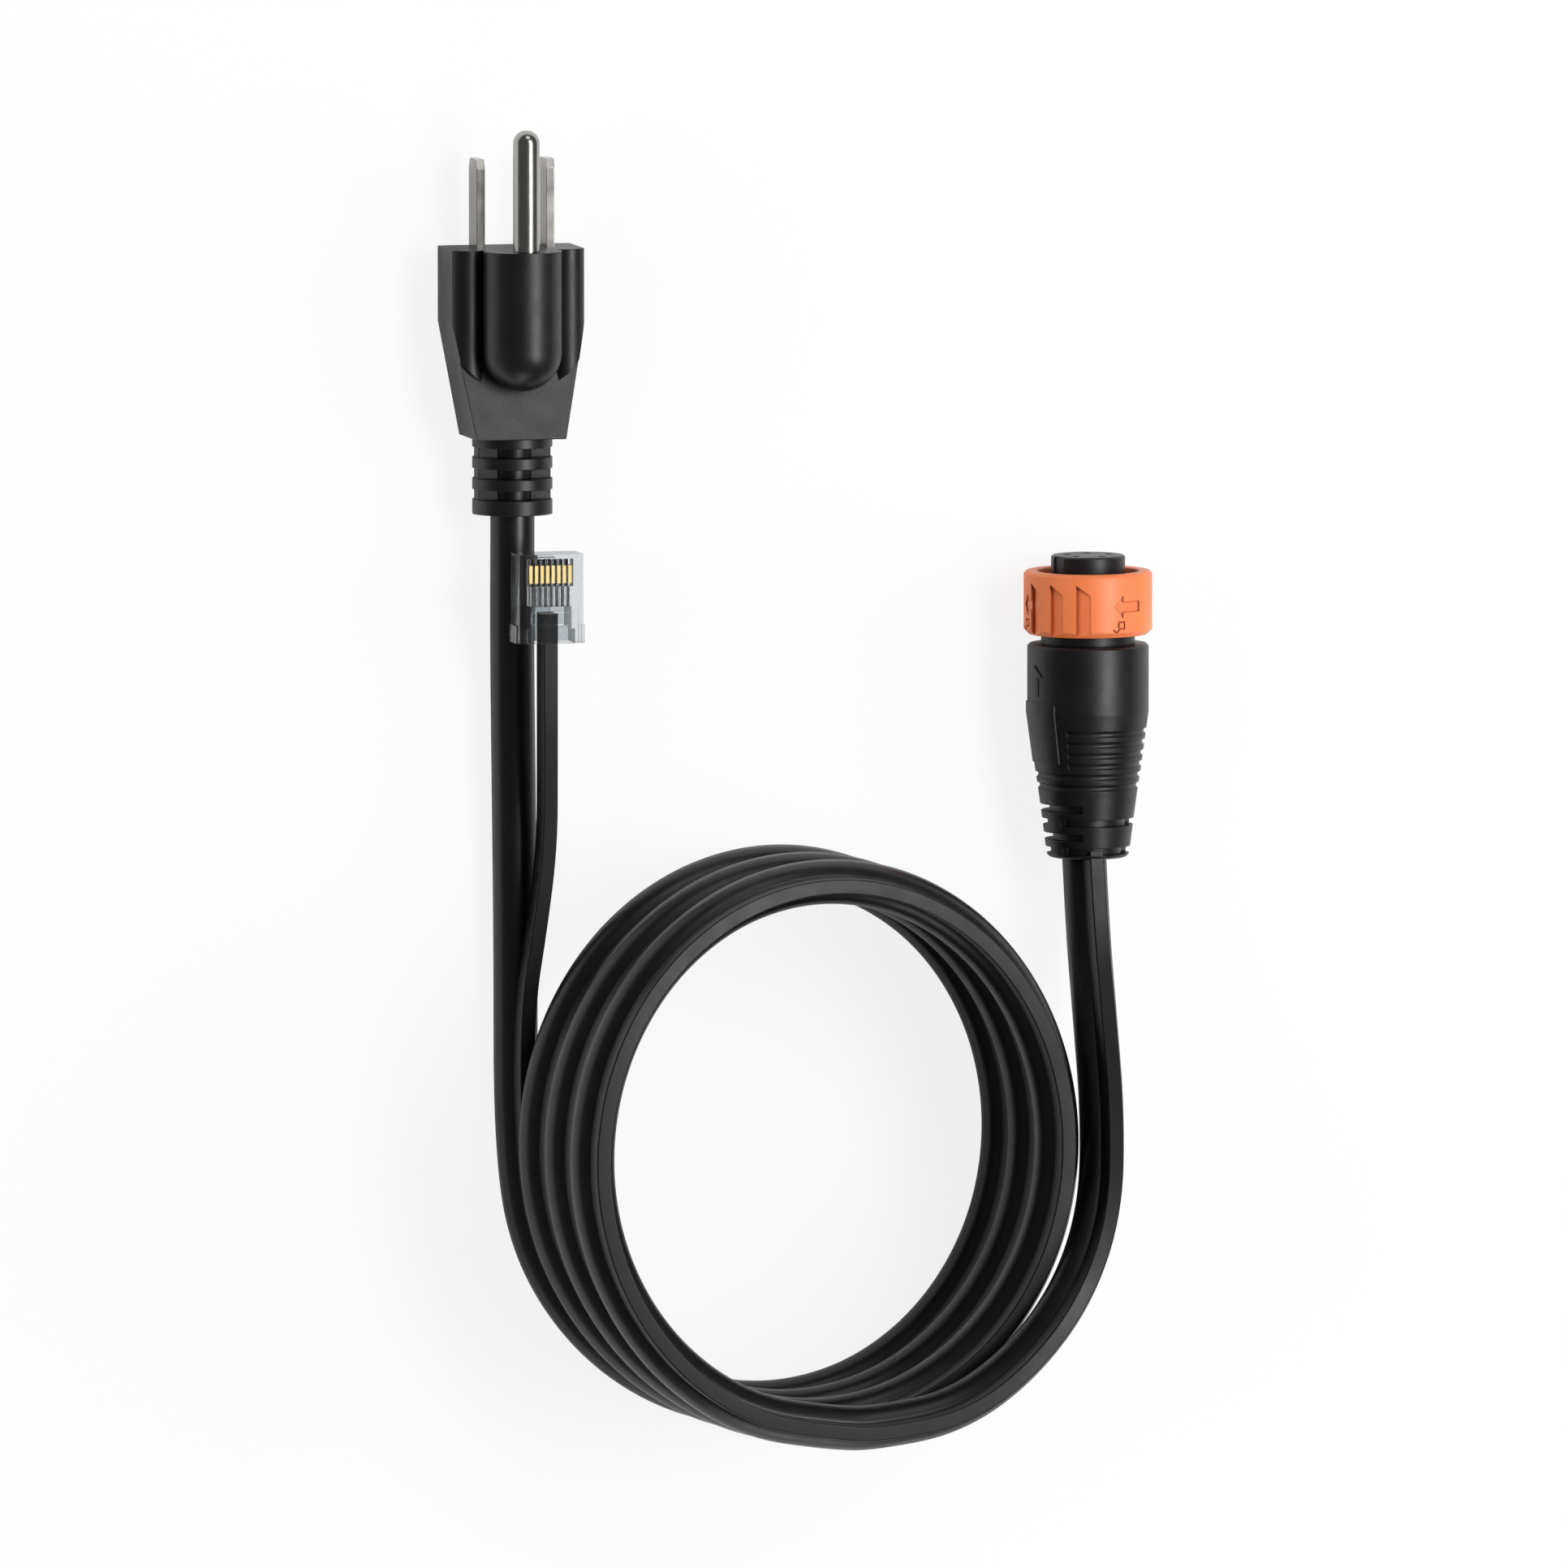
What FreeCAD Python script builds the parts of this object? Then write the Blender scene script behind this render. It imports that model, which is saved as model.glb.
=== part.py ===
import FreeCAD, Part
import math
import os

import Sketcher

# A branched power and data lead, in millimetres.
# It lies on a floor at z = 0 with its coil towards -Y.
# X runs from the mains plug on the left to the round connector on the right.
# The origin is on the floor, under the middle of the box round the plug,
# the data plug and the round connector.

Vector = FreeCAD.Vector
UP = Vector(0, 0, 1)

doc = FreeCAD.newDocument("Lead")
os.makedirs("parts", exist_ok=True)

SIZES = {
    "plug_centre": -52.0,
    "plug_face": 44.6,
    "plug_width": 24.06,
    "plug_tail_width": 16.3,
    "plug_depth": 12.3,
    "plug_tail_depth": 15.0,
    "plug_straight": 13.4,
    "plug_length": 33.8,
    "plug_edge_radius": 0.6,
    "lobe_radius": 3.4,
    "lobe_offset": 8.97,
    "lobe_height": 10.8,
    "shield_radius": 13.05,
    "shield_centre": 12.45,
    "bulge_radius": 7.0,
    "bulge_height": 15.8,
    "bulge_length": 25.0,
    "blade_spacing": 12.7,
    "blade_thickness": 1.5,
    "blade_width": 6.35,
    "blade_length": 15.9,
    "blade_height": 7.1,
    "blade_shank": 10.0,
    "blade_bevel": 1.6,
    "pin_diameter": 4.76,
    "pin_length": 21.7,
    "pin_offset": 11.89,
    "pin_shank": 10.0,
    "pin_shank_radius": 1.9,
    "crimp_radius": 1.7,
    "crimp_length": 4.5,
    "wire_radius": 1.3,
    "bridge_depth": 3.2,
    "bridge_start": 3.0,
    "bridge_width": 18.4,
    "bridge_tower_width": 6.4,
    "relief_radius": 7.15,
    "relief_length": 13.7,
    "relief_slot": 1.85,
    "relief_pitch": 3.77,
    "relief_first": 1.7,
    "relief_spine_width": 13.2,
    "relief_spine_depth": 3.4,
    "relief_core_radius": 3.5,
    "cord_radius": 4.0,
    "cord_height": 7.4,
    "lead_thickness": 2.7,
    "lead_width": 5.7,
    "lead_corner": 0.5,
    "lead_rise": 6.95,
    "coil_left": -50.74,
    "coil_middle": -115.4,
    "coil_half_width": 44.4,
    "coil_half_length": 48.5,
    "coil_pitch": 14.4,
    "coil_lean": 1.47,
    "coil_floor": 4.05,
    "data_centre": -47.5,
    "data_face": -9.4,
    "data_width": 11.68,
    "data_length": 15.9,
    "data_bottom": 12.3,
    "data_thickness": 6.6,
    "data_pitch": 1.02,
    "wing_width": 0.45,
    "wing_length": 3.2,
    "wing_height": 5.2,
    "contact_thickness": 0.66,
    "contact_height": 2.2,
    "contact_length": 3.2,
    "contact_inset": 2.0,
    "contact_sink": 0.4,
    "channel_width": 0.82,
    "channel_length": 4.9,
    "channel_start": 0.8,
    "data_wire_radius": 0.42,
    "data_wire_end": 1.0,
    "cavity_length": 6.6,
    "cavity_width": 7.4,
    "cavity_mouth_width": 8.8,
    "cavity_height": 5.75,
    "cavity_floor": 0.42,
    "bar_start": 2.6,
    "bar_length": 1.9,
    "bar_thickness": 0.42,
    "latch_width": 3.2,
    "latch_thickness": 0.9,
    "latch_drop": 2.8,
    "latch_reach": 14.9,
    "latch_barrel": 0.45,
    "joint_centre": 52.5,
    "joint_height": 11.5,
    "boot_top": -28.0,
    "boot_length": 38.3,
    "boot_radius": 10.87,
    "boot_straight": 12.1,
    "boot_waist_radius": 9.55,
    "boot_waist": 21.8,
    "boot_shoulder_radius": 8.75,
    "boot_shoulder": 27.1,
    "boot_end_radius": 7.3,
    "boot_end_rounding": 1.1,
    "rib_first": 15.6,
    "rib_pitch": 1.95,
    "rib_groove": 0.6,
    "rib_depth": 0.42,
    "pad_rise": 0.25,
    "pad_angle": -74.0,
    "panel_start": 10.1,
    "panel_end": 21.1,
    "panel_width": 10.2,
    "panel_end_width": 9.4,
    "panel_corner": 0.9,
    "boot_arrow_place": 3.5,
    "boot_arrow_length": 5.5,
    "boot_arrow_head": 2.1,
    "boot_arrow_head_width": 4.8,
    "boot_arrow_shaft": 1.9,
    "slot_first": 28.6,
    "slot_pitch": 2.55,
    "slot_width": 1.3,
    "slot_depth": 1.5,
    "shell_neck_radius": 8.4,
    "shell_flange_radius": 9.0,
    "shell_tail_radius": 6.0,
    "shell_tail_length": 9.0,
    "ring_radius": 11.5,
    "ring_bore": 9.1,
    "ring_lip_bore": 8.46,
    "ring_lip": 2.4,
    "ring_length": 11.3,
    "ring_gap": 1.8,
    "ring_chamfer": 0.9,
    "ring_mouth_chamfer": 0.5,
    "ring_play": 0.1,
    "notch_depth": 0.8,
    "notch_width": 2.6,
    "notch_tall": 9.5,
    "notch_short": 7.6,
    "mark_depth": 0.25,
    "ring_arrow_place": 7.33,
    "ring_arrow_length": 5.56,
    "ring_arrow_head": 1.68,
    "ring_arrow_head_width": 4.2,
    "ring_arrow_shaft": 1.9,
    "padlock_place": 4.06,
    "padlock_width": 1.46,
    "padlock_stroke": 0.28,
    "padlock_shackle": 0.62,
    "insert_radius": 6.63,
    "insert_rise": 2.75,
    "insert_edge": 0.3,
    "key_width": 2.8,
    "key_depth": 0.45,
    "socket_circle": 3.9,
    "socket_radius": 0.75,
    "sleeve_radius": 1.05,
    "sleeve_depth": 0.5,
    "sleeve_length": 8.0,
    "seal_radius": 0.95,
}

sheet = doc.addObject("Spreadsheet::Sheet", "Sizes")
for row, (alias, number) in enumerate(SIZES.items(), start=1):
    sheet.set(f"A{row}", alias)
    sheet.set(f"B{row}", str(number))
    sheet.setAlias(f"B{row}", alias)
doc.recompute()


def cell(alias):
    """The number that the sheet holds under an alias."""
    return float(getattr(sheet, alias))


def formula(text):
    """A formula written with bare aliases, turned into one that reads the sheet."""
    words = text.replace("(", "( ").replace(")", " )").split()
    return " ".join(f"Sizes.{word}" if word in SIZES else word for word in words)


def bind(thing, **formulas):
    """Tie properties of a document object to formulas of the sheet."""
    for name, text in formulas.items():
        thing.setExpression(name, formula(text))
    return thing


def move(thing, x="0", y="0", z="0", turn=None):
    """Place an object by formulas, with an optional fixed turn."""
    if turn:
        thing.Placement = FreeCAD.Placement(Vector(), turn)
    for axis, text in zip("xyz", (x, y, z)):
        thing.setExpression(f"Placement.Base.{axis}", formula(text))
    return thing


ALONG_Y = FreeCAD.Rotation(Vector(1, 0, 0), -90)


def box(name, width, length, height, x, y, z):
    """A block whose corner stands at x, y, z."""
    block = doc.addObject("Part::Box", name)
    bind(block, Width=length, Length=width, Height=height)
    return move(block, x, y, z)


def rod(name, radius, length, x, y, z):
    """A round bar that starts at x, y, z and runs towards +Y."""
    bar = doc.addObject("Part::Cylinder", name)
    bind(bar, Radius=radius, Height=length)
    return move(bar, x, y, z, ALONG_Y)


def fuse(name, pieces):
    union = doc.addObject("Part::MultiFuse", name)
    union.Shapes = pieces
    union.Refine = True
    return union


def cut(name, base, tool):
    difference = doc.addObject("Part::Cut", name)
    difference.Base = base
    difference.Tool = tool
    return difference


def common(name, one, other):
    overlap = doc.addObject("Part::Common", name)
    overlap.Base = one
    overlap.Tool = other
    return overlap


def group(name, pieces):
    """Separate solids that share one node."""
    compound = doc.addObject("Part::Compound", name)
    compound.Links = pieces
    return compound


def shaped(name, shape):
    """A form that the sheet sizes through this file's own code."""
    thing = doc.addObject("Part::Feature", name)
    thing.Shape = shape
    return thing


def origin_plane(body, role):
    """One of a body's own three planes."""
    return next(item for item in body.Origin.OriginFeatures if item.Role == role)


def outline(body, name, plane, corners):
    """A closed outline in a body's plane, each corner tied to the sheet by two formulas."""
    sketch = body.newObject("Sketcher::SketchObject", name)
    sketch.AttachmentSupport = [(origin_plane(body, plane), "")]
    sketch.MapMode = "FlatFace"
    count = len(corners)
    angles = [2 * math.pi * index / count for index in range(count)]
    spots = [Vector(20 * math.cos(angle), 20 * math.sin(angle), 0) for angle in angles]
    for index, spot in enumerate(spots):
        sketch.addGeometry(Part.LineSegment(spot, spots[(index + 1) % count]))
    for index in range(count):
        sketch.addConstraint(Sketcher.Constraint("Coincident", index, 2, (index + 1) % count, 1))
    for index, (across, along) in enumerate(corners):
        for kind, start, text in (("DistanceX", spots[index].x, across), ("DistanceY", spots[index].y, along)):
            number = sketch.addConstraint(Sketcher.Constraint(kind, -1, 1, index, 1, start))
            sketch.setExpression(f"Constraints[{number}]", formula(text))
    return sketch


def turned(name, corners):
    """A turned piece: its outline holds radius and place along Y."""
    body = doc.addObject("PartDesign::Body", name)
    profile = outline(body, name + "Profile", "XY_Plane", corners)
    turning = body.newObject("PartDesign::Revolution", name + "Turn")
    turning.Profile = profile
    turning.ReferenceAxis = (profile, ["V_Axis"])
    turning.Angle = 360
    return body


def padded(name, plane, corners, length, both_ways=False):
    """A piece of one thickness: an outline, pulled up from its plane."""
    body = doc.addObject("PartDesign::Body", name)
    profile = outline(body, name + "Profile", plane, corners)
    pad = body.newObject("PartDesign::Pad", name + "Pad")
    pad.Profile = profile
    pad.setExpression("Length", formula(length))
    if both_ways:
        pad.SideType = "Symmetric"
    return body


def edges_where(shape, test):
    """Names of the edges whose two ends pass a test."""
    names = []
    for number, edge in enumerate(shape.Edges, start=1):
        if all(test(vertex.Point) for vertex in edge.Vertexes):
            names.append(f"Edge{number}")
    return names


def rounded(body, name, radius, test):
    """Round the edges of a body's last feature that pass a test."""
    doc.recompute()
    last = body.Tip
    fillet = body.newObject("PartDesign::Fillet", name)
    fillet.Base = (last, edges_where(last.Shape, test))
    fillet.setExpression("Radius", formula(radius))
    return body


def pipe(path, outline_wire, upright=False):
    """A solid swept along a path of lines and arcs."""
    shell = Part.BRepOffsetAPI.MakePipeShell(path)
    if upright:
        shell.setBiNormalMode(UP)
    shell.add(outline_wire, False, False)
    shell.build()
    shell.makeSolid()
    return shell.shape()


def circle_at(point, direction, radius):
    return Part.Wire(Part.Circle(point, direction, radius).toShape())


def flat_section(point, direction):
    """The data lead's section on edge: a flat strip with rounded corners."""
    side = direction.cross(UP).normalize()
    half, high, corner = cell("lead_thickness") / 2, cell("lead_width") / 2, cell("lead_corner")
    inset = corner * (1 - math.sqrt(0.5))

    def spot(across, up):
        return point + side * across + UP * up

    edges = []
    for hand, rise in ((1, 1), (-1, -1)):
        edges += [
            Part.LineSegment(spot(hand * half, rise * (corner - high)), spot(hand * half, rise * (high - corner))),
            Part.Arc(spot(hand * half, rise * (high - corner)), spot(hand * (half - inset), rise * (high - inset)),
                     spot(hand * (half - corner), rise * high)),
            Part.LineSegment(spot(hand * (half - corner), rise * high), spot(hand * (corner - half), rise * high)),
            Part.Arc(spot(hand * (corner - half), rise * high), spot(hand * (inset - half), rise * (high - inset)),
                     spot(-hand * half, rise * (high - corner))),
        ]
    return Part.Wire([edge.toShape() for edge in edges])


def corner_arc(corner, into, out, leg):
    """The arc that rounds a corner, touching both runs a leg away from it, and its radius."""
    half_turn = into.getAngle(out) / 2
    radius = leg / math.tan(half_turn)
    begin = corner - into * leg
    finish = corner + out * leg
    chord_middle = (begin + finish) / 2
    middle = chord_middle + (corner - chord_middle).normalize() * radius * (1 - math.cos(half_turn))
    return Part.Arc(begin, middle, finish).toShape(), radius


def route(points):
    """Straight runs joined by tangent arcs, and the arcs' radii."""
    edges = []
    radii = []
    start = points[0]
    for before, corner, after in zip(points, points[1:], points[2:]):
        into = (corner - before).normalize()
        out = (after - corner).normalize()
        leg = 0.45 * min((corner - before).Length, (after - corner).Length)
        arc, radius = corner_arc(corner, into, out, leg)
        edges.append(Part.LineSegment(start, corner - into * leg).toShape())
        edges.append(arc)
        radii.append(radius)
        start = corner + out * leg
    edges.append(Part.LineSegment(start, points[-1]).toShape())
    return Part.Wire(edges), radii


def biarc(start, start_way, end, end_way):
    """Two arcs that leave one point and reach another in given directions."""
    across = end - start
    ways = start_way + end_way
    slack = 2 * (1 - start_way.dot(end_way))
    along = across.dot(ways)
    leg = (math.sqrt(along ** 2 + slack * across.dot(across)) - along) / slack
    first_corner = start + start_way * leg
    second_corner = end - end_way * leg
    joint_way = (second_corner - first_corner).normalize()
    return [
        corner_arc(first_corner, start_way, joint_way, leg)[0],
        corner_arc(second_corner, joint_way, end_way, leg)[0],
    ]


def coil_quarter(number):
    """A quarter point of the coil and the cord's direction there, from 9 o'clock down and round."""
    turns = number / 4
    level = number // 4
    side = number % 4
    centre_x = cell("coil_left") + cell("coil_half_width") + cell("coil_lean") * turns
    centre_y = cell("coil_middle")
    pitch = cell("coil_pitch")
    floor = cell("coil_floor") + level * pitch
    half_width, half_length = cell("coil_half_width"), cell("coil_half_length")
    steepest = pitch / (math.pi * half_length / 2)
    places = (
        (Vector(centre_x - half_width, centre_y, floor), Vector(0, -1, 0)),
        (Vector(centre_x, centre_y - half_length, floor), Vector(1, 0, 0)),
        (Vector(centre_x + half_width, centre_y, floor), Vector(0, 1, 0)),
        (Vector(centre_x, centre_y + half_length, floor + pitch / 2), Vector(-1, 0, steepest).normalize()),
    )
    return places[side]


def coil_path(quarters, rise):
    """The path of the coil's turns, lifted by a rise."""
    edges = []
    for number in range(quarters):
        start, start_way = coil_quarter(number)
        end, end_way = coil_quarter(number + 1)
        edges += biarc(start + UP * rise, start_way, end + UP * rise, end_way)
    return Part.Wire(edges)


def coil_gap(path, reach):
    """The least distance between turns of a path, less the tube's own reach."""
    samples = []
    travelled = 0
    for edge in path.Edges:
        for step in range(6):
            share = edge.FirstParameter + (edge.LastParameter - edge.FirstParameter) * step / 6
            samples.append((travelled + edge.Length * step / 6, edge.valueAt(share)))
        travelled += edge.Length
    pairs = (
        (one, two)
        for first, one in samples
        for second, two in samples
        if second - first > 100
    )
    return min((one - two).Length for one, two in pairs) - reach


COIL_QUARTERS = 13


def cord_piece(name, path, start, way):
    """A round stretch of the power cord, checked against its section and length."""
    radius = cell("cord_radius")
    solid = pipe(path, circle_at(start, way, radius))
    expected = math.pi * radius ** 2 * path.Length
    print(f"{name}: {path.Length:.1f} long, volume {solid.Volume / expected:.4f} of section by length")
    return shaped(name, solid)


def lead_piece(name, path, start, way):
    """A flat stretch of the data lead, held on edge."""
    solid = pipe(path, flat_section(start, way), upright=True)
    section = cell("lead_thickness") * cell("lead_width") - (4 - math.pi) * cell("lead_corner") ** 2
    share = solid.Volume / (section * path.Length)
    print(f"{name}: {path.Length:.1f} long, volume {share:.4f} of section by length")
    return shaped(name, solid)


def print_radii(name, radii):
    print(f"{name} radii:", ", ".join(f"{radius:.0f}" for radius in radii))


def cord_route_points():
    """The power cord's hand-laid stretches: down from the plug, and from the coil to the connector."""
    coil_start = coil_quarter(0)[0]
    coil_end = coil_quarter(COIL_QUARTERS)[0]
    relief_end = cell("plug_face") - cell("plug_length") - cell("relief_length")
    boot_end = cell("boot_top") - cell("boot_length")
    joint = cell("joint_centre")
    plug_run = [
        Vector(cell("plug_centre"), relief_end, cell("cord_height")),
        Vector(cell("plug_centre"), -9.5, cell("cord_height")),
        Vector(-51.7, -22, 5.7),
        Vector(-51.3, -37, 4.4),
        Vector(-51.0, -56, coil_start.z),
        Vector(coil_start.x, -82, coil_start.z),
        coil_start,
    ]
    connector_run = [
        coil_end,
        Vector(5.5, coil_end.y, coil_end.z),
        Vector(19.5, -161.6, coil_end.z),
        Vector(31.9, -154.0, 47.0),
        Vector(42.0, -141.9, 45.0),
        Vector(48.3, -126.8, 38.9),
        Vector(50.8, -110.3, 29.5),
        Vector(52.0, -94.3, 18.9),
        Vector(joint, -79.3, 11.3),
        Vector(joint, boot_end + 0.9, 8.5),
    ]
    return plug_run, connector_run


def lead_route_points(connector_run):
    """The data lead's stretches: from the data plug onto the cord, and on top of the cord's last stretch."""
    coil_start = coil_quarter(0)[0] + UP * cell("lead_rise")
    plug_back = cell("data_face") - cell("data_length")
    plug_run = [
        Vector(cell("data_centre"), plug_back + 5.2, 15.6),
        Vector(cell("data_centre"), plug_back - 9, 15.6),
        Vector(-47.1, -48, 13.8),
        Vector(-46.7, -62, 11.7),
        Vector(-48.3, -76, coil_start.z),
        Vector(coil_start.x, -91, coil_start.z),
        coil_start,
    ]
    lifted = [point + UP * cell("lead_rise") for point in connector_run]
    for before, point, after in zip(connector_run, lifted[1:], connector_run[2:]):
        slope = (after - before).normalize().z
        point.z += cell("lead_rise") * (1 / math.sqrt(1 - slope ** 2) - 1)
    return plug_run, lifted


def make_cords():
    cord_plug_run, cord_connector_run = cord_route_points()
    lead_plug_run, lead_connector_run = lead_route_points(cord_connector_run)
    for name, points, maker in (
        ("power_cord_plug_run", cord_plug_run, cord_piece),
        ("power_cord_connector_run", cord_connector_run, cord_piece),
        ("data_lead_plug_run", lead_plug_run, lead_piece),
        ("data_lead_connector_run", lead_connector_run, lead_piece),
    ):
        path, radii = route(points)
        print_radii(name, radii)
        yield maker(name, path, points[0], (points[1] - points[0]).normalize())
    cord_coil = coil_path(COIL_QUARTERS, 0)
    lead_coil = coil_path(COIL_QUARTERS, cell("lead_rise"))
    start, way = coil_quarter(0)
    yield cord_piece("power_cord_coil", cord_coil, start, way)
    yield lead_piece("data_lead_coil", lead_coil, start + UP * cell("lead_rise"), way)
    stack = cell("cord_radius") + cell("lead_rise") + cell("lead_width") / 2
    tightest = min(edge.Curve.Radius for edge in cord_coil.Edges)
    print(f"coil: tightest radius {tightest:.1f}")
    print(f"power cord coil: least gap to itself {coil_gap(cord_coil, 2 * cell('cord_radius')):.2f}")
    print(f"both leads: least gap between turns {coil_gap(cord_coil, stack):.2f}")


def make_blade(name, side):
    """A flat plug blade with a bevelled tip, its shank held in the bridge and its crimp behind."""
    blade = padded(name + "_bar", "YZ_Plane", (
        ("0 - blade_shank", "0 - blade_width / 4"),
        ("0 - bridge_start - bridge_depth", "0 - blade_width / 4"),
        ("0 - bridge_start - bridge_depth", "0 - blade_width / 2"),
        ("blade_length - blade_bevel", "0 - blade_width / 2"),
        ("blade_length", "0 - blade_width / 2 + blade_bevel / 2"),
        ("blade_length", "blade_width / 2 - blade_bevel / 2"),
        ("blade_length - blade_bevel", "blade_width / 2"),
        ("0 - bridge_start - bridge_depth", "blade_width / 2"),
        ("0 - bridge_start - bridge_depth", "blade_width / 4"),
        ("0 - blade_shank", "blade_width / 4"),
    ), "blade_thickness", both_ways=True)
    centre = f"plug_centre + ( {side} ) * blade_spacing / 2"
    move(blade, centre, "plug_face", "blade_height")
    crimp = rod(name + "_crimp", "crimp_radius", "crimp_length", centre,
                "plug_face - blade_shank - crimp_length + 1", "blade_height")
    return fuse(name, [blade, crimp])


def make_ground_pin():
    """A round pin with a domed tip, a thinner shank in the bridge and a crimp behind."""
    pin = turned("ground_pin_bar", (
        ("0", "0 - pin_shank"),
        ("pin_shank_radius", "0 - pin_shank"),
        ("pin_shank_radius", "0"),
        ("pin_diameter / 2", "0"),
        ("pin_diameter / 2", "pin_length"),
        ("0", "pin_length"),
    ))
    tip = cell("pin_length")
    rounded(pin, "PinDome", "pin_diameter / 2 - 0.1", lambda point: point.y > tip - 0.01 and point.x > 1)
    move(pin, "plug_centre", "plug_face", "blade_height + pin_offset")
    crimp = rod("ground_pin_crimp", "crimp_radius", "crimp_length", "plug_centre",
                "plug_face - pin_shank - crimp_length + 1", "blade_height + pin_offset")
    return fuse("ground_pin", [pin, crimp])


def make_bridge_blank():
    """The hard carrier that holds the three contacts apart, before they pass through it."""
    start = "plug_face - bridge_start - bridge_depth"
    bar = box("BridgeBar", "bridge_width", "bridge_depth", "blade_width + 3",
              "plug_centre - bridge_width / 2", start, "blade_height - blade_width / 2 - 1.5")
    tower = box("BridgeTower", "bridge_tower_width", "bridge_depth", "pin_offset + pin_diameter / 2 + 0.5",
                "plug_centre - bridge_tower_width / 2", start, "blade_height")
    return fuse("BridgeBlank", [bar, tower])


def make_core_wire(name, x_from, z_from, x_to, z_to):
    """An insulated core, from the cord's end to the crimp of its contact."""
    back = cell("plug_face") - cell("plug_length")
    front = cell("plug_face") - cell("blade_shank") - cell("crimp_length") + 1
    start = Vector(cell("plug_centre") + x_from, back - cell("relief_length"), z_from)
    end = Vector(cell("plug_centre") + x_to, front, z_to)
    bend = Vector(start.x, back + 0.43 * (front - back), start.z)
    path, radii = route([start, bend, end - Vector(0, 0.3 * (front - back), 0), end])
    print_radii(name, radii)
    return shaped(name, pipe(path, circle_at(start, Vector(0, 1, 0), cell("wire_radius"))))


def make_plug_blank():
    """The moulded body before its contacts: a tapering slab under two long lobes and the ground pin's bulge."""
    plan = padded("PlugPlan", "XY_Plane", (
        ("0 - plug_width / 2", "0"),
        ("0 - plug_width / 2", "0 - plug_straight"),
        ("0 - plug_tail_width / 2", "0 - plug_length"),
        ("plug_tail_width / 2", "0 - plug_length"),
        ("plug_width / 2", "0 - plug_straight"),
        ("plug_width / 2", "0"),
    ), "plug_tail_depth + 1")
    rounded(plan, "PlanBackEdges", "plug_edge_radius",
            lambda point: point.z < 0.01 and point.y < -0.01 or point.z < 0.01 and abs(point.x) > 12)
    move(plan, "plug_centre", "plug_face", "0")
    side = padded("PlugSide", "YZ_Plane", (
        ("0", "0"),
        ("0", "plug_depth"),
        ("0 - plug_straight", "plug_depth"),
        ("0 - plug_length", "plug_tail_depth"),
        ("0 - plug_length", "0"),
    ), "plug_width + 2", both_ways=True)
    move(side, "plug_centre", "plug_face", "0")
    slab = common("PlugSlab", plan, side)
    lobes = [
        rod(f"PlugLobe{number}", "lobe_radius", "bulge_length", f"plug_centre + ( {hand} ) * lobe_offset",
            "plug_face - bulge_length", "lobe_height")
        for number, hand in enumerate((-1, 1))
    ]
    shield = doc.addObject("Part::Cylinder", "PlugShield")
    bind(shield, Radius="shield_radius", Height="plug_tail_depth + 1")
    move(shield, "plug_centre", "plug_face - shield_centre", "0")
    shoulders = box("PlugShoulders", "plug_width", "shield_centre", "plug_tail_depth + 1",
                    "plug_centre - plug_width / 2", "plug_face - shield_centre", "0")
    ends = fuse("PlugLobeEnds", [shield, shoulders])
    cropped = [common(f"PlugLobeShape{number}", common(f"PlugLobePlan{number}", lobe, plan), ends)
               for number, lobe in enumerate(lobes)]
    bulge = rod("PlugBulge", "bulge_radius", "bulge_length - bulge_radius", "plug_centre",
                "plug_face - bulge_length + bulge_radius", "bulge_height")
    end = doc.addObject("Part::Sphere", "PlugBulgeEnd")
    bind(end, Radius="bulge_radius")
    move(end, "plug_centre", "plug_face - bulge_length + bulge_radius", "bulge_height")
    return fuse("PlugBlank", [slab, bulge, end] + cropped)


def make_plug():
    """The mains plug: three contacts in a bridge, their cores, the moulding and its strain relief."""
    contacts = [make_blade("line_blade", "1"), make_blade("neutral_blade", "-1"), make_ground_pin()]
    bridge = cut("blade_bridge", make_bridge_blank(), fuse("BridgeHoles", contacts))
    height = cell("cord_height")
    side = cell("blade_spacing") / 2
    cores = [
        make_core_wire("line_core", 1.5, height - 0.9, side, cell("blade_height")),
        make_core_wire("neutral_core", -1.5, height - 0.9, -side, cell("blade_height")),
        make_core_wire("ground_core", 0, height + 1.75, 0, cell("blade_height") + cell("pin_offset")),
    ]
    body = cut("plug_body", make_plug_blank(), fuse("PlugInside", contacts + [bridge] + cores))
    return contacts + [bridge] + cores + [body, make_strain_relief(cores)]


def make_strain_relief(cores):
    """Four rings on a round core and a flat spine, with windows between them; the three cores run through."""
    back = "plug_face - plug_length"
    pieces = []
    for number in range(4):
        near = f"relief_first + relief_slot + {number - 1} * relief_pitch" if number else "0"
        far = f"relief_first + {number} * relief_pitch" if number < 3 else "relief_length"
        pieces.append(rod(f"ReliefRing{number}", "relief_radius", f"( {far} ) - ( {near} )", "plug_centre",
                          f"{back} - ( {far} )", "cord_height"))
    pieces.append(rod("ReliefCore", "relief_core_radius", "relief_length", "plug_centre",
                      f"{back} - relief_length", "cord_height"))
    pieces.append(box("ReliefSpine", "relief_spine_width", "relief_length", "relief_spine_depth",
                      "plug_centre - relief_spine_width / 2", f"{back} - relief_length",
                      "cord_height - relief_spine_depth / 2"))
    return cut("plug_strain_relief", fuse("ReliefSolid", pieces), group("ReliefBores", cores))


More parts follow.
